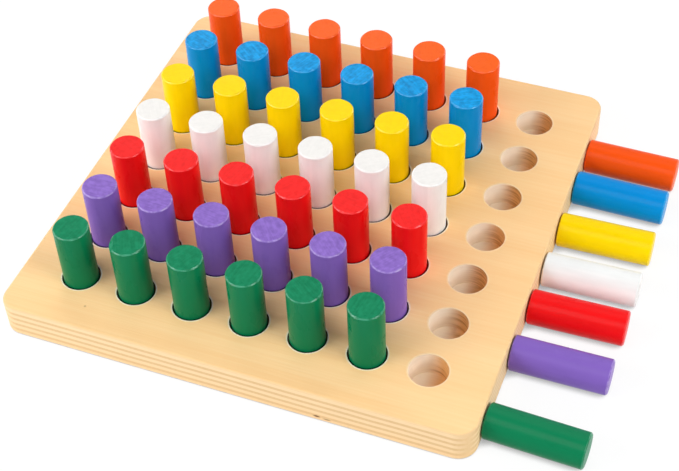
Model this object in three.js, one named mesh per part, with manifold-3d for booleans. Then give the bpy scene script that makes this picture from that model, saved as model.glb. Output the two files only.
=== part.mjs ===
// Cylinder peg board: a square plywood board with a grid of blind round holes and one painted peg
// for every hole. The pegs stand in all columns but the last, whose holes are empty. Its pegs lie
// on the table beside the board, each at the end of its own colour's row.
// Millimetres, +Z up. X runs along the rows towards the loose pegs, Y from the front row to the
// back row. The origin is the centre of the board's underside.

import * as THREE from 'three';
import { mergeVertices } from 'three/addons/utils/BufferGeometryUtils.js';
import Module from 'manifold-3d';

// Hole grid
const COLUMNS = 7;
const HOLE_PITCH = 31; // between neighbouring hole centres, along the rows and across them
const EDGE_MARGIN = 32; // from the outer hole centres to the board's edges

// Board
const BOARD_THICKNESS = 19;
const CORNER_RADIUS = 10;
const EDGE_RADIUS = 1.2; // softened upper and lower edges
const HOLE_DEPTH = 14;

// Pegs
const PEG_DIAMETER = 18;
const PEG_LENGTH = 49;
const PEG_CHAMFER = 0.8;

// Clearances
const HOLE_CLEARANCE = 0.8; // all round a peg in its hole
const SEAT_GAP = 0.3; // under a standing peg's foot
const SIDE_GAP = 0.4; // between a loose peg's end and the board's side

// Facets
const ROUND_SIDES = 20; // flat sides of a peg or a hole
const CORNER_SIDES = 8; // flat sides of a board corner
const EDGE_STEPS = 2; // flat steps of a softened edge
const CUT_OVERRUN = 2; // how far a hole's cutter stands above the board

// The rows from front to back. Each row's loose peg lies where a hand left it, moved along Y from
// its row's centre line by drift and turned on the table by turn, in degrees.
const ROWS = [
  { colour: 'green', paint: 0x13835a, drift: -12.5, turn: -2 },
  { colour: 'purple', paint: 0x8b6bc6, drift: 1, turn: 0.5 },
  { colour: 'red', paint: 0xe8252a, drift: 2, turn: 1.5 },
  { colour: 'white', paint: 0xf4f0ec, drift: -2, turn: 1.5 },
  { colour: 'yellow', paint: 0xf8d708, drift: -3, turn: 1.5 },
  { colour: 'blue', paint: 0x0a97df, drift: -1.5, turn: -0.5 },
  { colour: 'orange', paint: 0xf45a20, drift: -6, turn: -0.5 },
];
const PLYWOOD = 0xf2cf9c;
const PAINT_ROUGHNESS = 0.35;
const PLYWOOD_ROUGHNESS = 0.6;

// Sizes that follow from the driving dimensions
const boardWidth = (COLUMNS - 1) * HOLE_PITCH + 2 * EDGE_MARGIN;
const boardDepth = (ROWS.length - 1) * HOLE_PITCH + 2 * EDGE_MARGIN;
const holeFloor = BOARD_THICKNESS - HOLE_DEPTH;
const pegRadius = PEG_DIAMETER / 2;
const holeRadius = pegRadius + HOLE_CLEARANCE;

const columnX = (column) => (column - (COLUMNS - 1) / 2) * HOLE_PITCH;
const rowY = (row) => (row - (ROWS.length - 1) / 2) * HOLE_PITCH;

// The corner radius of a round section whose flat sides lie on the true radius
const acrossCorners = (radius) => radius / Math.cos(Math.PI / ROUND_SIDES);
const HALF_SIDE = Math.PI / ROUND_SIDES; // turns a section until a flat side faces each axis

const wasm = await Module();
wasm.setup();

function toSolid(geometry) {
  const bare = geometry.clone();
  bare.deleteAttribute('normal');
  bare.deleteAttribute('uv');
  const merged = mergeVertices(bare);
  return new wasm.Manifold(new wasm.Mesh({
    numProp: 3,
    vertProperties: Float32Array.from(merged.attributes.position.array),
    triVerts: Uint32Array.from(merged.index.array),
  }));
}

function toGeometry(solid) {
  const mesh = solid.getMesh();
  const geometry = new THREE.BufferGeometry();
  geometry.setAttribute('position', new THREE.BufferAttribute(mesh.vertProperties, 3));
  geometry.setIndex(new THREE.BufferAttribute(mesh.triVerts, 1));
  geometry.computeVertexNormals();
  return geometry;
}

// Board outline, seen from above: a rectangle with rounded corners
function boardOutline() {
  const x = boardWidth / 2 - CORNER_RADIUS;
  const y = boardDepth / 2 - CORNER_RADIUS;
  const quarter = Math.PI / 2;
  const corners = [[x, -y], [x, y], [-x, y], [-x, -y]];
  const outline = new THREE.Shape();
  corners.forEach(([cornerX, cornerY], turn) => {
    outline.absarc(cornerX, cornerY, CORNER_RADIUS, (turn - 1) * quarter, turn * quarter);
  });
  outline.closePath();
  return outline;
}

// Blank: the outline extruded to the board's thickness, with its upper and lower edges softened
function boardBlank() {
  const blank = new THREE.ExtrudeGeometry(boardOutline(), {
    depth: BOARD_THICKNESS - 2 * EDGE_RADIUS,
    bevelThickness: EDGE_RADIUS,
    bevelSize: EDGE_RADIUS,
    bevelOffset: -EDGE_RADIUS,
    bevelSegments: EDGE_STEPS,
    curveSegments: CORNER_SIDES / 2, // an arc gets two flat sides for each of these
  });
  blank.translate(0, 0, EDGE_RADIUS);
  return blank;
}

// Cutter of one blind hole, standing on the hole's floor
function holeCutter(column, row) {
  const radius = acrossCorners(holeRadius);
  const height = HOLE_DEPTH + CUT_OVERRUN;
  const cutter = new THREE.CylinderGeometry(radius, radius, height, ROUND_SIDES, 1, false, HALF_SIDE);
  cutter.rotateX(Math.PI / 2);
  cutter.translate(columnX(column), rowY(row), holeFloor + height / 2);
  return cutter;
}

function boardGeometry() {
  let board = toSolid(boardBlank());
  for (let row = 0; row < ROWS.length; row += 1) {
    for (let column = 0; column < COLUMNS; column += 1) {
      board = board.subtract(toSolid(holeCutter(column, row)));
    }
  }
  return toGeometry(board);
}

// Peg: a turned cylinder with both ends chamfered, its middle at the origin and its axis along Y
function pegGeometry() {
  const radius = acrossCorners(pegRadius);
  const end = PEG_LENGTH / 2;
  const profile = [
    new THREE.Vector2(0, -end),
    new THREE.Vector2(radius - PEG_CHAMFER, -end),
    new THREE.Vector2(radius, PEG_CHAMFER - end),
    new THREE.Vector2(radius, end - PEG_CHAMFER),
    new THREE.Vector2(radius - PEG_CHAMFER, end),
    new THREE.Vector2(0, end),
  ];
  return new THREE.LatheGeometry(profile, ROUND_SIDES, HALF_SIDE);
}

function addMesh(parent, name, geometry, color, roughness) {
  const material = new THREE.MeshStandardMaterial({ color, roughness, metalness: 0 });
  const mesh = new THREE.Mesh(geometry, material);
  mesh.name = name;
  parent.add(mesh);
  return mesh;
}

// A peg standing in its hole, just clear of the hole's floor
function addStandingPeg(parent, column, row) {
  const { colour, paint } = ROWS[row];
  const peg = addMesh(parent, `peg_${colour}_${column + 1}`, pegGeometry(), paint, PAINT_ROUGHNESS);
  peg.rotation.x = Math.PI / 2;
  peg.position.set(columnX(column), rowY(row), holeFloor + SEAT_GAP + PEG_LENGTH / 2);
}

// A peg lying on the table, with its near end just clear of the board's side
function addLoosePeg(parent, row) {
  const { colour, paint, drift, turn } = ROWS[row];
  const angle = THREE.MathUtils.degToRad(turn);
  const reach = (PEG_LENGTH / 2) * Math.cos(angle) + pegRadius * Math.abs(Math.sin(angle));
  const place = new THREE.Group();
  place.position.set(boardWidth / 2 + SIDE_GAP + reach, rowY(row) + drift, pegRadius);
  place.rotation.z = angle;
  const peg = addMesh(place, `loose_peg_${colour}`, pegGeometry(), paint, PAINT_ROUGHNESS);
  peg.rotation.z = -Math.PI / 2;
  parent.add(place);
}

const pegBoard = new THREE.Group();
addMesh(pegBoard, 'board', boardGeometry(), PLYWOOD, PLYWOOD_ROUGHNESS);
for (let row = 0; row < ROWS.length; row += 1) {
  for (let column = 0; column < COLUMNS - 1; column += 1) {
    addStandingPeg(pegBoard, column, row);
  }
  addLoosePeg(pegBoard, row);
}

export default pegBoard;
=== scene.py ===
"""Looks of the cylinder peg board: a drilled plywood board and its painted pegs, on a white table.

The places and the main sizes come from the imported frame, in metres. X runs along the rows towards the
loose pegs, Y from the front row to the back row, and the board's underside is at the origin.
"""
import math
import random

import bmesh
import bpy
import numpy as np
from mathutils import Color, Matrix, Quaternion, Vector


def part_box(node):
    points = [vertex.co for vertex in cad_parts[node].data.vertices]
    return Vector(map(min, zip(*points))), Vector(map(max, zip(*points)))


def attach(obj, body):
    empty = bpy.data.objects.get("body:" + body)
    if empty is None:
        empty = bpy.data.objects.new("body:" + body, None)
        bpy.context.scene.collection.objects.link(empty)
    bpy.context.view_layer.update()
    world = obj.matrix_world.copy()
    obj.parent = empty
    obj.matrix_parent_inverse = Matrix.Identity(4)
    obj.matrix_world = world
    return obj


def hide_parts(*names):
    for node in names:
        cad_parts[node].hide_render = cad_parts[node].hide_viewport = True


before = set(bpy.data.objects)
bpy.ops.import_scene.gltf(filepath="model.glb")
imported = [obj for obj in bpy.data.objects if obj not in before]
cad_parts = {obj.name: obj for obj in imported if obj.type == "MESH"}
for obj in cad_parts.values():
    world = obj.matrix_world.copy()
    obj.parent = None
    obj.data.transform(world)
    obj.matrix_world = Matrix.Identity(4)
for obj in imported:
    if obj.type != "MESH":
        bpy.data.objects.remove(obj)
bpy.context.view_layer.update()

MM = 0.001
FULL_TURN = 2 * math.pi
QUARTER_TURN = math.pi / 2
SHARP_ANGLE = math.radians(40)

# Board
COLUMNS = 7
CORNER_RADIUS = 10 * MM
CORNER_STEPS = 16
EDGE_RADIUS = 1.2 * MM
EDGE_STEPS = 5
HOLE_CLEARANCE = 0.8 * MM  # all round a standing peg
SEAT_GAP = 0.3 * MM  # under a standing peg
HOLE_SIDES = 72
RIM_RADIUS = 0.35 * MM  # the broken edge of a hole
RIM_STEPS = 3

# Plies: the dark ones, evenly spaced about the middle of the board, with light ones between and outside
DARK_PLIES = 4
DARK_PLY = 1.75 * MM
PLY_PITCH = 3.88 * MM
PLY_BLUR = 0.8 * MM
PLY_WAVE = 0.2 * MM
WARM_HEIGHT = 7 * MM  # the lower plies are warmer up to here

# Pegs
PEG_SIDES = 72
PEG_EDGE_RADIUS = 0.75 * MM
PEG_EDGE_STEPS = 6

# Wear of the pegs' end edges, which flattens their rounding: all round, in soft waves, so many a turn,
# and in nicks. One green peg has a large chip.
WEAR_DEPTH = 0.06 * MM
WEAR_WAVES = (3, 5, 8)
WAVE_DEPTH = 0.24 * MM
NICKS = 2
NICK_DEPTH = 0.16 * MM
NICK_WIDTH = math.radians(8)
CHIPS = {"peg_green_2": math.radians(205)}
CHIP_CUT = 2.2 * MM  # how far a chip cuts in from the peg's side
CHIP_FLATNESS = 0.33  # the wear of a chip, as a share of its reach

# Each row's paint, from the front row to the back: the tones of its pegs' sides and ends under plain
# light (sRGB, 0 to 1), how strongly saw marks show on the ends, and how much paler the ends' rims are,
# from worn paint and a painted highlight
PAINTS = {
    "green": {"side": (0.030, 0.485, 0.310), "end": (0.060, 0.515, 0.340), "saw": 1.00, "rim": 0.20},
    "purple": {"side": (0.520, 0.390, 0.750), "end": (0.560, 0.425, 0.790), "saw": 1.10, "rim": 0.25},
    "red": {"side": (0.955, 0.080, 0.090), "end": (0.975, 0.145, 0.140), "saw": 0.60, "rim": 0.12},
    "white": {"side": (0.955, 0.962, 0.958), "end": (0.945, 0.935, 0.920), "saw": 0.25, "rim": 0.00},
    "yellow": {"side": (0.990, 0.845, 0.000), "end": (0.990, 0.850, 0.000), "saw": 0.30, "rim": 0.10},
    "blue": {"side": (0.000, 0.550, 0.850), "end": (0.000, 0.630, 0.935), "saw": 1.80, "rim": 0.16},
    "orange": {"side": (0.980, 0.335, 0.060), "end": (0.985, 0.390, 0.110), "saw": 0.35, "rim": 0.08},
}
COLOURS = tuple(PAINTS)

# Finish of the paint: how far its tone goes down in its hollows and up where it is thin, the shares of
# clouds beside the sides' grain and of mottle beside the ends' saw lines, its gloss, and the relief of
# its saw marks and grain
SIDE_DEPTH = 0.03
END_DEPTH = 0.12
END_SHINE = 0.05
CLOUD_SHARE = 0.5
MOTTLE_SHARE = 0.55
PAINT_ROUGHNESS = (0.25, 0.36)
PAINT_GLOSS = 0.05
COAT_ON_SIDE = 0.1
COAT_ON_RIM = 0.5
COAT_ROUGHNESS = 0.18
SAW_RELIEF = 0.03 * MM
GRAIN_RELIEF = 0.015 * MM

# How far a peg's surface faces along its axis where its side turns into its end, and where the rim
# between them fades in and out
END_FACING = (0.6, 0.95)
RIM_FACING = (0.1, 0.4, 0.8, 0.98)

# Shadow in the narrow gap between a standing peg and its hole: the reach within which a gap is narrow,
# how open a surface is where the shadow is full and where it ends, how far down the gap it is full, and
# how far down it still shows
GAP_REACH = 3 * MM
GAP_OPEN = (0.15, 0.55)
GAP_EDGE = 0.25 * MM
GAP_SHOWN = 2.5 * MM
GAP_STRENGTH = 0.9
GAP_DEPTH = 0.9  # how much darker the paint is in full shadow
GAP_SAMPLES = 6

# Woods, as they look under plain light (sRGB, 0 to 1), with the tones of the painted shade, shadow and
# highlight
VENEER_LIGHT = (1.00, 0.845, 0.628)
VENEER_DARK = (0.985, 0.805, 0.573)
PLY_LIGHT = (1.00, 0.875, 0.700)
PLY_DARK = (0.925, 0.775, 0.565)
PLY_WARM = (1.00, 0.855, 0.660)
# painted shade that keeps the rounded arris from catching more light than the faces
ARRIS_PAINTED_SHADE = (0.930, 0.790, 0.600)
RAW_LIGHT = (1.00, 0.945, 0.860)
# painted shade: the tone of a hole's raw wood on its side towards +X
RAW_PAINTED_SHADE = (0.940, 0.720, 0.465)
RAW_GRAIN = (0.640, 0.400, 0.190)
RAW_SHADOW = (0.180, 0.110, 0.070)
# painted highlight: the pale ring round each hole's rim
PAINTED_RIM_HIGHLIGHT = (1.00, 0.960, 0.870)
KNOT = (0.42, 0.22, 0.08)

# Finish of the wood, with where its painted shade and highlight lie
BAND_SHARE = 0.6  # of broad bands in the veneer's tone, beside its fibres
ARC_SHARE = 0.7  # of the drill's arcs in the grain of a hole's raw wood, beside the plies
ARC_RANGE = (0.45, 0.8)  # where the noise of the arcs turns into dark lines
RAW_STRENGTH = (0.05, 0.65)  # of that grain, where the wood is light and where the painted shade darkens it
PORE_RANGE = (0.8, 1.0)
WOOD_ROUGHNESS = (0.42, 0.54)
RAW_ROUGHNESS = 0.75
WOOD_GLOSS = 0.06
WOOD_RELIEF = 0.03 * MM
EDGE_FACING = (0.55, 0.85)  # how far the wood faces up where the edge ends and the face begins
ARRIS_FACING = (0.1, 0.4, 0.85, 0.99)  # and where the painted shade on the arris between them fades in and out
ARRIS_SHADE_STRENGTH = 0.7
PAINTED_SHADE_SIDE = (-0.5, 0.6)  # where a painted shade darkens the wood of a hole towards +X, in radii from its middle
HOLE_BASE = (1 / 3, 1 / 2)  # shares of the holes' floor height, under which no wood is a hole's
HIGHLIGHT_RING_WIDTH = 0.8 * MM  # the width of the painted highlight ring round each hole's rim
# how strong the painted highlight ring is
HIGHLIGHT_RING_STRENGTH = 0.9
EMPTY_HOLE_HIGHLIGHT = 0.3  # the painted highlight ring's share round the empty holes

# Grain of the noises: bumps a metre along X, Y and Z
FIBRES = (22, 800, 800)
BANDS = (6, 90, 90)
PLY_WAVES = (18, 18, 18)
PORES = (900, 900, 900)
DRILL_ARCS = (60, 60, 900)
SIDE_GRAIN = (420, 420, 12)
CLOUDS = (170, 170, 70)
SAW_LINES = (90, 900, 90)
MOTTLE = (420, 420, 420)
NOISE_DETAIL = 3.0
NOISE_RANGE = (0.32, 0.68)  # where most of a noise's values lie
SEED_SPREAD = 40.0  # keeps the pegs' noises apart

# Small knots: the face, how far along X from the middle, how far up the front edge or back from it on
# the top, half sizes along X, Y and Z, and how dark
KNOTS = (
    ("front", 47.5 * MM, 2.9 * MM, (2.4 * MM, 1.0 * MM, 0.9 * MM), 0.95),
    ("front", 52.8 * MM, 2.3 * MM, (2.8 * MM, 1.0 * MM, 0.7 * MM), 0.6),
    ("top", -81.6 * MM, 13.9 * MM, (0.9 * MM, 0.9 * MM, 0.9 * MM), 0.35),
)
KNOT_CORE = 0.3  # the share of a knot's size that is darkest

# Camera, fitted to the photograph's hole rims, peg tops and board edges
CAMERA_PLACE = (0.2267, -0.5129, 0.5706)
CAMERA_AIM = (0.0213, -0.0238, 0.0190)
CAMERA_ROLL = math.radians(-2.70)
CAMERA_LENS = 78.23
SENSOR_WIDTH = 36.0

# Soft boxes: name, azimuth from the front towards +X, elevation (degrees) and power (watts)
SOFT_BOXES = (
    ("soft_box_front_left", -45, 30, 9.3),
    ("soft_box_left", -80, 18, 4.7),
    ("soft_box_back_left", -150, 30, 5.0),
    ("soft_box_back_right", 150, 18, 4.5),
    ("soft_box_right", 75, 30, 10.0),
    ("soft_box_front_high", 0, 60, 3.9),
    ("soft_box_back_high", 180, 60, 1.4),
)
LAMP_DISTANCE = 1.3
LAMP_SIZE = 0.7
WORLD_LEVEL = 0.04
WHITE = (1.0, 1.0, 1.0, 1.0)

# Table
TABLE_SIDE = 4.0
TABLE_DROP = 0.1 * MM
TABLE_TONE = (0.85, 0.85, 0.85, 1.0)
TABLE_SHADE = (0.12, 0.12, 0.12, 1.0)
TABLE_GLOW = 0.89
TABLE_FADE = (0.3, 0.8)  # how far from the board the table turns plain white
CONTACT_GLOW = 0.35
CONTACT_REACH = 6 * MM
CONTACT_OPEN = (0.1, 0.6)  # how open the table is where the contact shadow is full and where it ends


def linear(colour):
    """The scene-linear RGBA of an sRGB colour."""
    return (*Color(colour).from_srgb_to_scene_linear(), 1.0)


def darker(colour, share):
    return [channel * (1 - share) for channel in colour]


def paler(colour, share):
    return [channel + (1 - channel) * share for channel in colour]


# Places read off the frame

board_low, board_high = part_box("board")
first_low, first_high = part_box("peg_green_1")
second_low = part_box("peg_green_2")[0]
PEG_RADIUS = (first_high.x - first_low.x) / 2
PEG_LENGTH = first_high.z - first_low.z
HOLE_RADIUS = PEG_RADIUS + HOLE_CLEARANCE
HOLE_FLOOR = first_low.z - SEAT_GAP
HOLE_PITCH = second_low.x - first_low.x
FIRST_COLUMN = (first_low.x + first_high.x) / 2
LAST_COLUMN = FIRST_COLUMN + (COLUMNS - 1) * HOLE_PITCH
FIRST_ROW = (first_low.y + first_high.y) / 2
GAP_LEVEL = board_high.z - (first_low.z + first_high.z) / 2  # the board's top above a peg's middle


def hole_centres():
    """The middle of every hole, row by row from the front."""
    for row in range(len(COLOURS)):
        for column in range(COLUMNS):
            yield FIRST_COLUMN + column * HOLE_PITCH, FIRST_ROW + row * HOLE_PITCH


def peg_axis(node):
    """The middle and the direction of a CAD peg, read off its mesh."""
    points = np.array([v.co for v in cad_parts[node].data.vertices])
    middle = (points.min(0) + points.max(0)) / 2
    axis = np.linalg.svd(points - middle, full_matrices=False)[2][0]
    if axis[np.argmax(np.abs(axis))] < 0:
        axis = -axis
    return Vector(middle), Vector(axis)


# Meshes

def add_ring(bm, points):
    return [bm.verts.new(point) for point in points]


def bridge(bm, ring_a, ring_b):
    """Joins two closed rings of as many points by a band of quads."""
    for i, vert in enumerate(ring_a):
        j = (i + 1) % len(ring_a)
        bm.faces.new((vert, ring_a[j], ring_b[j], ring_b[i]))


def bridge_all(bm, rings):
    for ring_a, ring_b in zip(rings, rings[1:]):
        bridge(bm, ring_a, ring_b)


def ring_edges(bm, ring):
    return [bm.edges.get((vert, ring[(i + 1) % len(ring)])) for i, vert in enumerate(ring)]


def quarter_turns(steps):
    """The angles of a rounded edge, from 0 to a quarter turn."""
    return [QUARTER_TURN * step / steps for step in range(steps + 1)]


def rounded_edge(radius, steps):
    """The points of a rounded edge as (inset from the side, drop from the top), from top to side."""
    return [(radius * (1 - math.sin(t)), radius * (1 - math.cos(t))) for t in quarter_turns(steps)]


def circle(x, y, z, radius):
    for i in range(HOLE_SIDES):
        angle = FULL_TURN * i / HOLE_SIDES
        yield x + radius * math.cos(angle), y + radius * math.sin(angle), z


def board_outline(inset, z):
    """The board's outline from above, drawn in by inset."""
    radius = CORNER_RADIUS - inset
    x = board_high.x - CORNER_RADIUS
    y = board_high.y - CORNER_RADIUS
    for quarter, (corner_x, corner_y) in enumerate(((x, y), (-x, y), (-x, -y), (x, -y))):
        for turn in quarter_turns(CORNER_STEPS):
            angle = quarter * QUARTER_TURN + turn
            yield corner_x + radius * math.cos(angle), corner_y + radius * math.sin(angle), z


def finish_mesh(bm, name, material):
    """Turns a bmesh into an object with soft edges and true flats."""
    bmesh.ops.recalc_face_normals(bm, faces=bm.faces)
    for face in bm.faces:
        face.smooth = True
    mesh = bpy.data.meshes.new(name)
    bm.to_mesh(mesh)
    bm.free()
    mesh.set_sharp_from_angle(angle=SHARP_ANGLE)
    mesh.materials.append(material)
    piece = bpy.data.objects.new(name, mesh)
    bpy.context.scene.collection.objects.link(piece)
    weighted = piece.modifiers.new("flat_faces_stay_flat", "WEIGHTED_NORMAL")
    weighted.keep_sharp = True
    return piece


def make_board(material):
    """The plywood board: rounded corners, softened edges and a grid of blind holes with broken rims."""
    bm = bmesh.new()
    top = board_high.z
    bottom = board_low.z
    edge = rounded_edge(EDGE_RADIUS, EDGE_STEPS)
    levels = [(inset, top - drop) for inset, drop in edge]
    levels += [(inset, bottom + drop) for inset, drop in reversed(edge)]
    outer = [add_ring(bm, board_outline(inset, z)) for inset, z in levels]
    bridge_all(bm, outer)
    bm.faces.new(outer[-1])
    top_edges = ring_edges(bm, outer[0])

    profile = [(HOLE_RADIUS + inset, top - drop) for inset, drop in rounded_edge(RIM_RADIUS, RIM_STEPS)]
    profile.append((HOLE_RADIUS, HOLE_FLOOR))
    for x, y in hole_centres():
        rings = [add_ring(bm, circle(x, y, z, radius)) for radius, z in profile]
        bridge_all(bm, rings)
        bm.faces.new(rings[-1])
        top_edges += ring_edges(bm, rings[0])
    bmesh.ops.triangle_fill(bm, edges=top_edges, use_beauty=True)
    return finish_mesh(bm, "plywood_board", material)


def bump_at(angle, middle, width):
    """A smooth bump round one angle, 1 at its middle."""
    return math.exp(-(math.remainder(angle - middle, FULL_TURN) / width) ** 2)


def chip_reach(angle, middle):
    """How far a straight chip cuts in from a peg's side at one angle: zero or less outside the chip."""
    off = math.remainder(angle - middle, FULL_TURN)
    if abs(off) >= QUARTER_TURN:
        return 0.0
    return PEG_RADIUS - (PEG_RADIUS - CHIP_CUT) / math.cos(off)


def edge_wear(node, end):
    """For each side of a peg, how far one end edge's rounding reaches and how much it is worn flat."""
    draw = random.Random(f"{node} {end}")
    waves = [(count, draw.uniform(0, FULL_TURN)) for count in WEAR_WAVES]
    nicks = [draw.uniform(0, FULL_TURN) for _ in range(NICKS)]
    wear = []
    for side in range(PEG_SIDES):
        angle = FULL_TURN * side / PEG_SIDES
        swell = sum(1 + math.sin(count * angle + phase) for count, phase in waves) / (2 * len(waves))
        reach = PEG_EDGE_RADIUS
        depth = WEAR_DEPTH + WAVE_DEPTH * swell
        depth += NICK_DEPTH * max(bump_at(angle, nick, NICK_WIDTH) for nick in nicks)
        if node in CHIPS and end == "top":
            chip = chip_reach(angle, CHIPS[node])
            if chip > reach:
                reach = chip
                depth = CHIP_FLATNESS * chip
        wear.append((reach, depth))
    return wear


def peg_ring(turn, wear):
    """One ring of a peg's upper edge: turn 0 lies on the flat end and a quarter turn on the side."""
    for side, (reach, depth) in enumerate(wear):
        angle = FULL_TURN * side / PEG_SIDES
        bulge = reach - depth * math.sin(2 * turn)
        radius = PEG_RADIUS - reach + bulge * math.sin(turn)
        z = PEG_LENGTH / 2 - reach + bulge * math.cos(turn)
        yield radius * math.cos(angle), radius * math.sin(angle), z


def make_peg(node, name, material):
    """A turned peg with rounded, worn end edges, standing or lying where its CAD node is."""
    bm = bmesh.new()
    turns = quarter_turns(PEG_EDGE_STEPS)
    top_wear = edge_wear(node, "top")
    foot_wear = edge_wear(node, "foot")
    rings = [add_ring(bm, peg_ring(turn, top_wear)) for turn in turns]
    for turn in reversed(turns):
        rings.append(add_ring(bm, [(x, y, -z) for x, y, z in peg_ring(turn, foot_wear)]))
    bridge_all(bm, rings)
    bm.faces.new(rings[0])
    bm.faces.new(rings[-1])
    piece = finish_mesh(bm, name, material)
    middle, axis = peg_axis(node)
    side = Vector((0, 1, 0)).cross(axis).normalized()
    turn = Matrix((side, axis.cross(side), axis)).transposed().to_4x4()
    piece.matrix_world = Matrix.Translation(middle) @ turn
    return piece


# Materials

class NodeKit:
    """Adds and joins the nodes of one material or world."""

    def __init__(self, tree):
        self.tree = tree

    def join(self, source, target):
        self.tree.links.new(source, target)

    def feed(self, value, socket):
        """Sets a socket to a plain value, or links it to another socket."""
        if isinstance(value, bpy.types.NodeSocket):
            self.join(value, socket)
        else:
            socket.default_value = value

    def add(self, kind, **settings):
        node = self.tree.nodes.new(kind)
        for key, value in settings.items():
            setattr(node, key, value)
        return node

    def math(self, operation, first, second=0.0):
        node = self.add("ShaderNodeMath", operation=operation)
        self.feed(first, node.inputs[0])
        self.feed(second, node.inputs[1])
        return node.outputs[0]

    def product(self, *values):
        result = values[0]
        for value in values[1:]:
            result = self.math("MULTIPLY", result, value)
        return result

    def hypotenuse(self, first, second):
        squares = self.math("ADD", self.product(first, first), self.product(second, second))
        return self.math("SQRT", squares)

    def ramp(self, value, low, high, to_low=0.0, to_high=1.0):
        """A smooth step from to_low at low to to_high at high."""
        node = self.add("ShaderNodeMapRange", interpolation_type="SMOOTHSTEP")
        for socket, item in zip(node.inputs, (value, low, high, to_low, to_high)):
            self.feed(item, socket)
        return node.outputs[0]

    def band(self, value, low, start, end, high):
        """1 from start to end, fading to 0 at low and at high."""
        return self.product(self.ramp(value, low, start), self.ramp(value, end, high, 1.0, 0.0))

    def vector(self, operation, first, second):
        node = self.add("ShaderNodeVectorMath", operation=operation)
        self.feed(first, node.inputs[0])
        self.feed(second, node.inputs[1])
        return node.outputs["Vector"]

    def length(self, vector):
        node = self.add("ShaderNodeVectorMath", operation="LENGTH")
        self.join(vector, node.inputs[0])
        return node.outputs["Value"]

    def split(self, vector):
        node = self.add("ShaderNodeSeparateXYZ")
        self.join(vector, node.inputs[0])
        return node.outputs

    def noise(self, place, grain, seed=0.0):
        """Noise with about so many bumps a metre along each axis, stretched to run from 0 to 1."""
        node = self.add("ShaderNodeTexNoise", noise_dimensions="4D")
        self.feed(self.vector("MULTIPLY", place, grain), node.inputs["Vector"])
        self.feed(seed, node.inputs["W"])
        node.inputs["Scale"].default_value = 1.0
        node.inputs["Detail"].default_value = NOISE_DETAIL
        return self.ramp(node.outputs[0], *NOISE_RANGE)

    def mix(self, factor, first, second, kind="RGBA"):
        node = self.add("ShaderNodeMix", data_type=kind)
        self.feed(factor, node.inputs["Factor"])
        self.feed(first, node.inputs["A"])
        self.feed(second, node.inputs["B"])
        return node.outputs["Result"]

    def fade(self, factor, first, second):
        return self.mix(factor, first, second, kind="FLOAT")


class SurfaceKit(NodeKit):
    """The nodes of one material with a Principled shader."""

    def __init__(self, name, gloss):
        self.material = bpy.data.materials.new(name)
        self.material.use_nodes = True
        super().__init__(self.material.node_tree)
        self.shader = self.tree.nodes["Principled BSDF"]
        self.shader.inputs["Specular IOR Level"].default_value = gloss
        coords = self.add("ShaderNodeTexCoord")
        self.place = coords.outputs["Object"]
        self.facing = [self.math("ABSOLUTE", part) for part in self.split(coords.outputs["Normal"])]

    def finish(self, colour, roughness, relief):
        """Joins colour, roughness and a relief in metres to the shader."""
        bump = self.add("ShaderNodeBump")
        bump.inputs["Distance"].default_value = 1.0
        self.join(relief, bump.inputs["Height"])
        self.join(bump.outputs[0], self.shader.inputs["Normal"])
        self.join(colour, self.shader.inputs["Base Color"])
        self.join(roughness, self.shader.inputs["Roughness"])
        return self.material


def gap_shadow(kit, depth):
    """The strength of the shadow in a narrow gap, at a depth below the board's top."""
    occlusion = kit.add("ShaderNodeAmbientOcclusion", samples=GAP_SAMPLES)
    occlusion.inputs["Distance"].default_value = GAP_REACH
    narrow = kit.ramp(occlusion.outputs["AO"], *GAP_OPEN, GAP_STRENGTH, 0.0)
    return kit.product(narrow, kit.band(depth, 0.0, GAP_EDGE, GAP_SHOWN / 2, GAP_SHOWN))


def from_nearest(kit, along, first, pitch, count):
    """How far a point lies past the nearest of count places, a pitch apart from first on."""
    from_first = kit.math("SUBTRACT", along, first)
    steps = kit.math("ROUND", kit.math("DIVIDE", from_first, pitch))
    steps = kit.math("MINIMUM", kit.math("MAXIMUM", steps, 0.0), count - 1)
    return kit.math("SUBTRACT", from_first, kit.product(steps, pitch))


def dark_plies(kit, z):
    """1 in the dark plies and 0 in the light ones, along a slightly wavy height."""
    wave = kit.fade(kit.noise(kit.place, PLY_WAVES), -PLY_WAVE, PLY_WAVE)
    lowest = (board_low.z + board_high.z - (DARK_PLIES - 1) * PLY_PITCH) / 2
    past = from_nearest(kit, kit.math("ADD", z, wave), lowest, PLY_PITCH, DARK_PLIES)
    distance = kit.math("ABSOLUTE", past)
    return kit.ramp(distance, (DARK_PLY - PLY_BLUR) / 2, (DARK_PLY + PLY_BLUR) / 2, 1.0, 0.0)


def holes_in_use(kit, x):
    """1 round the holes that pegs stand in and 0 round the empty ones of the last column."""
    return kit.math("LESS_THAN", x, LAST_COLUMN - HOLE_PITCH / 2)


def raw_wood(kit, x, grain):
    """The raw wood of the holes: dark lines of grain on a tone that turns darker towards +X, a painted
    shade.
    """
    past = kit.math("DIVIDE", from_nearest(kit, x, FIRST_COLUMN, HOLE_PITCH, COLUMNS), HOLE_RADIUS)
    # painted shade: darker towards +X in each hole
    painted_shade = kit.ramp(past, *PAINTED_SHADE_SIDE)
    tone = kit.mix(painted_shade, linear(RAW_LIGHT), linear(RAW_PAINTED_SHADE))
    return kit.mix(kit.product(grain, kit.fade(painted_shade, *RAW_STRENGTH)), tone, linear(RAW_GRAIN))


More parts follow.
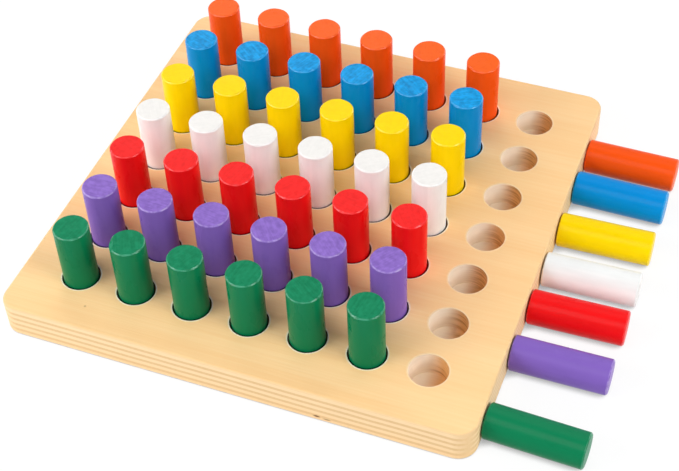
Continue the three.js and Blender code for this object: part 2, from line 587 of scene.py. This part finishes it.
def hole_masks(kit, x, y, z):
    """1 on the holes' walls and floors, and the strength of the painted highlight ring round each
    hole's rim.
    """
    distance = kit.hypotenuse(
        from_nearest(kit, x, FIRST_COLUMN, HOLE_PITCH, COLUMNS),
        from_nearest(kit, y, FIRST_ROW, HOLE_PITCH, len(COLOURS)),
    )
    rim = HOLE_RADIUS + RIM_RADIUS
    inside = kit.ramp(distance, HOLE_RADIUS, rim, 1.0, 0.0)
    under_top = kit.ramp(z, board_high.z - RIM_RADIUS, board_high.z, 1.0, 0.0)
    over_base = kit.ramp(z, *[HOLE_FLOOR * share for share in HOLE_BASE])
    in_hole = kit.product(inside, under_top, over_base)
    # painted highlight: a pale ring on the wood round each rim, full round the holes in use
    highlight_ring = kit.ramp(distance, rim, rim + HIGHLIGHT_RING_WIDTH, HIGHLIGHT_RING_STRENGTH, 0.0)
    highlight_strength = kit.fade(holes_in_use(kit, x), EMPTY_HOLE_HIGHLIGHT, 1.0)
    on_rim = kit.product(highlight_ring, highlight_strength, kit.math("SUBTRACT", 1.0, in_hole), over_base)
    return in_hole, on_rim


def with_knots(kit, colour):
    """A few small dark knots in the wood."""
    for face, along, across, size, strength in KNOTS:
        if face == "front":
            centre = (along, board_low.y, board_low.z + across)
        else:
            centre = (along, board_low.y + across, board_high.z)
        scaled = kit.vector("DIVIDE", kit.vector("SUBTRACT", kit.place, centre), size)
        distance = kit.length(scaled)
        colour = kit.mix(kit.ramp(distance, KNOT_CORE, 1.0, strength, 0.0), colour, linear(KNOT))
    return colour


def plywood_material():
    """Birch plywood: veneer on its faces, lacquered plies on its edges and raw wood in the holes."""
    kit = SurfaceKit("birch_plywood", gloss=WOOD_GLOSS)
    x, y, z = kit.split(kit.place)
    facing_x, facing_y, facing_z = kit.facing
    on_edge = kit.ramp(facing_z, *EDGE_FACING, 1.0, 0.0)
    in_hole, on_rim = hole_masks(kit, x, y, z)

    # Veneer: long fibres along X over broad soft bands
    fibres = kit.noise(kit.place, FIBRES)
    bands = kit.noise(kit.place, BANDS)
    veneer = kit.mix(kit.fade(BAND_SHARE, fibres, bands), linear(VENEER_LIGHT), linear(VENEER_DARK))

    # A ply is darker where its fibres end: the dark plies run along Y, the light ones along X
    end_grain = kit.fade(dark_plies(kit, z), facing_x, facing_y)
    pores = kit.noise(kit.place, PORES)
    shade = kit.product(end_grain, kit.fade(pores, *PORE_RANGE))
    warm = kit.ramp(z, WARM_HEIGHT / 2, WARM_HEIGHT, 1.0, 0.0)
    light_plies = kit.mix(warm, linear(PLY_LIGHT), linear(PLY_WARM))
    plies = kit.mix(shade, light_plies, linear(PLY_DARK))
    # painted shade on the rounded arris, which would otherwise catch more light than the faces
    arris_shade = kit.product(kit.band(facing_z, *ARRIS_FACING), ARRIS_SHADE_STRENGTH)

    # Raw wood: the drill leaves fine arcs on the walls
    arcs = kit.ramp(kit.noise(kit.place, DRILL_ARCS), *ARC_RANGE)
    raw_grain = kit.fade(ARC_SHARE, kit.fade(on_edge, fibres, end_grain), arcs)

    colour = kit.mix(on_edge, veneer, plies)
    # painted shade on the arris
    colour = kit.mix(arris_shade, colour, linear(ARRIS_PAINTED_SHADE))
    # raw wood in the holes, with its painted shade towards +X
    colour = kit.mix(in_hole, colour, raw_wood(kit, x, raw_grain))
    # painted highlight: the pale ring round each hole's rim
    colour = kit.mix(on_rim, colour, linear(PAINTED_RIM_HIGHLIGHT))
    colour = with_knots(kit, colour)
    shadow = gap_shadow(kit, kit.math("SUBTRACT", board_high.z, z))
    colour = kit.mix(shadow, colour, linear(RAW_SHADOW))
    roughness = kit.fade(in_hole, kit.fade(fibres, *WOOD_ROUGHNESS), RAW_ROUGHNESS)
    relief = kit.fade(on_edge, fibres, kit.fade(in_hole, pores, arcs))
    return kit.finish(colour, roughness, kit.product(relief, WOOD_RELIEF))


def paint_material(colour):
    """Paint on a turned peg: faint grain along its side, saw marks on its ends and glossy rims."""
    kit = SurfaceKit(f"paint_{colour}", gloss=PAINT_GLOSS)
    own = kit.add("ShaderNodeObjectInfo").outputs["Random"]
    seed = kit.product(own, SEED_SPREAD)
    turned = kit.add("ShaderNodeVectorRotate", rotation_type="Z_AXIS")
    kit.join(kit.place, turned.inputs["Vector"])
    kit.join(kit.product(own, FULL_TURN), turned.inputs["Angle"])
    place = turned.outputs[0]
    z = kit.split(place)[2]
    facing_z = kit.facing[2]
    on_end = kit.ramp(facing_z, *END_FACING)
    on_rim = kit.band(facing_z, *RIM_FACING)

    # Side: fine grain along the peg and soft clouds
    paint = PAINTS[colour]["side"]
    grain = kit.noise(place, SIDE_GRAIN, seed)
    clouds = kit.noise(place, CLOUDS, seed)
    deep_paint = darker(paint, SIDE_DEPTH)
    side = kit.mix(kit.fade(CLOUD_SHARE, grain, clouds), linear(deep_paint), linear(paint))

    # Ends: saw lines and mottled paint
    marks = PAINTS[colour]["saw"]
    end_paint = PAINTS[colour]["end"]
    saw = kit.fade(MOTTLE_SHARE, kit.noise(place, SAW_LINES, seed), kit.noise(place, MOTTLE, seed))
    low = linear(darker(end_paint, END_DEPTH * marks))
    high = linear(paler(end_paint, END_SHINE * marks))
    end = kit.mix(saw, low, high)

    # Rims: the paint is paler there, partly worn thin and partly a painted highlight, and its gloss
    # coat is thick
    wear_and_highlight = kit.product(on_rim, kit.noise(place, MOTTLE, seed))
    surface = kit.mix(on_end, side, end)
    surface = kit.mix(wear_and_highlight, surface, linear(paler(paint, PAINTS[colour]["rim"])))
    shadow = gap_shadow(kit, kit.math("SUBTRACT", GAP_LEVEL, z))
    surface = kit.mix(shadow, surface, linear(darker(paint, GAP_DEPTH)))
    coat = kit.fade(on_rim, kit.fade(on_end, COAT_ON_SIDE, 0.0), COAT_ON_RIM)
    kit.join(coat, kit.shader.inputs["Coat Weight"])
    kit.shader.inputs["Coat Roughness"].default_value = COAT_ROUGHNESS
    roughness = kit.fade(clouds, *PAINT_ROUGHNESS)
    relief = kit.fade(on_end, kit.product(grain, GRAIN_RELIEF), kit.product(saw, SAW_RELIEF * marks))
    return kit.finish(surface, roughness, relief)


def seen_directly(kit):
    """1 for rays that show the table or the world: from the camera, off gloss or through glass."""
    path = kit.add("ShaderNodeLightPath")
    shown = kit.math("MAXIMUM", path.outputs["Is Camera Ray"], path.outputs["Is Glossy Ray"])
    return kit.math("MAXIMUM", shown, path.outputs["Is Transmission Ray"])


def table_material():
    """A white table that bounces light and shows white, with a faint shadow, deepest at the contact."""
    material = bpy.data.materials.new("white_table")
    material.use_nodes = True
    kit = NodeKit(material.node_tree)
    kit.tree.nodes.remove(kit.tree.nodes["Principled BSDF"])
    bounce = kit.add("ShaderNodeBsdfDiffuse")
    bounce.inputs["Color"].default_value = TABLE_TONE
    shade = kit.add("ShaderNodeBsdfDiffuse")
    shade.inputs["Color"].default_value = TABLE_SHADE
    contact = kit.add("ShaderNodeAmbientOcclusion")
    contact.inputs["Distance"].default_value = CONTACT_REACH
    glow = kit.add("ShaderNodeEmission")
    near_glow = kit.ramp(contact.outputs["AO"], *CONTACT_OPEN, CONTACT_GLOW, TABLE_GLOW)
    place = kit.add("ShaderNodeTexCoord").outputs["Object"]
    far = kit.ramp(kit.length(place), *TABLE_FADE)
    kit.join(kit.fade(far, near_glow, 1.0), glow.inputs["Strength"])
    seen = kit.add("ShaderNodeAddShader")
    kit.join(shade.outputs[0], seen.inputs[0])
    kit.join(glow.outputs[0], seen.inputs[1])
    choice = kit.add("ShaderNodeMixShader")
    kit.join(seen_directly(kit), choice.inputs[0])
    kit.join(bounce.outputs[0], choice.inputs[1])
    kit.join(seen.outputs[0], choice.inputs[2])
    kit.join(choice.outputs[0], kit.tree.nodes["Material Output"].inputs["Surface"])
    return material


# Stage: table, light and camera

def make_table():
    bm = bmesh.new()
    half = TABLE_SIDE / 2
    corners = ((-half, -half), (half, -half), (half, half), (-half, half))
    bm.faces.new(add_ring(bm, [(x, y, board_low.z - TABLE_DROP) for x, y in corners]))
    mesh = bpy.data.meshes.new("table")
    bm.to_mesh(mesh)
    bm.free()
    mesh.materials.append(table_material())
    table = bpy.data.objects.new("table", mesh)
    bpy.context.scene.collection.objects.link(table)


def make_world():
    """An even white surround: full white where it shows, and hardly any light of its own."""
    world = bpy.data.worlds.new("studio")
    bpy.context.scene.world = world
    world.use_nodes = True
    kit = NodeKit(world.node_tree)
    background = world.node_tree.nodes["Background"]
    background.inputs["Color"].default_value = WHITE
    kit.join(kit.fade(seen_directly(kit), WORLD_LEVEL, 1.0), background.inputs["Strength"])


def make_soft_boxes():
    """Square soft boxes round the object, all turned to the middle of the board."""
    target = Vector((0, 0, board_high.z))
    for name, azimuth, elevation, power in SOFT_BOXES:
        data = bpy.data.lights.new(name, "AREA")
        data.size = LAMP_SIZE
        data.energy = power
        lamp = bpy.data.objects.new(name, data)
        across = math.cos(math.radians(elevation))
        towards = Vector((
            across * math.sin(math.radians(azimuth)),
            -across * math.cos(math.radians(azimuth)),
            math.sin(math.radians(elevation)),
        ))
        lamp.location = target + LAMP_DISTANCE * towards
        lamp.rotation_mode = "QUATERNION"
        lamp.rotation_quaternion = (-towards).to_track_quat("-Z", "Y")
        bpy.context.scene.collection.objects.link(lamp)


def make_camera():
    data = bpy.data.cameras.new("camera")
    data.lens = CAMERA_LENS
    data.sensor_width = SENSOR_WIDTH
    camera = bpy.data.objects.new("camera", data)
    camera.location = CAMERA_PLACE
    camera.rotation_mode = "QUATERNION"
    look = (Vector(CAMERA_AIM) - Vector(CAMERA_PLACE)).to_track_quat("-Z", "Y")
    camera.rotation_quaternion = look @ Quaternion((0, 0, 1), CAMERA_ROLL)
    bpy.context.scene.collection.objects.link(camera)
    bpy.context.scene.camera = camera


# Assembly

make_camera()
make_table()
make_world()
make_soft_boxes()
bpy.context.scene.view_settings.view_transform = "Standard"

board = make_board(plywood_material())
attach(board, "board")
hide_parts("board")

for colour in COLOURS:
    paint = paint_material(colour)
    standing = [f"peg_{colour}_{column}" for column in range(1, COLUMNS)]
    for node in (*standing, f"loose_peg_{colour}"):
        peg = make_peg(node, f"painted_{node}", paint)
        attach(peg, node)
        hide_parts(node)
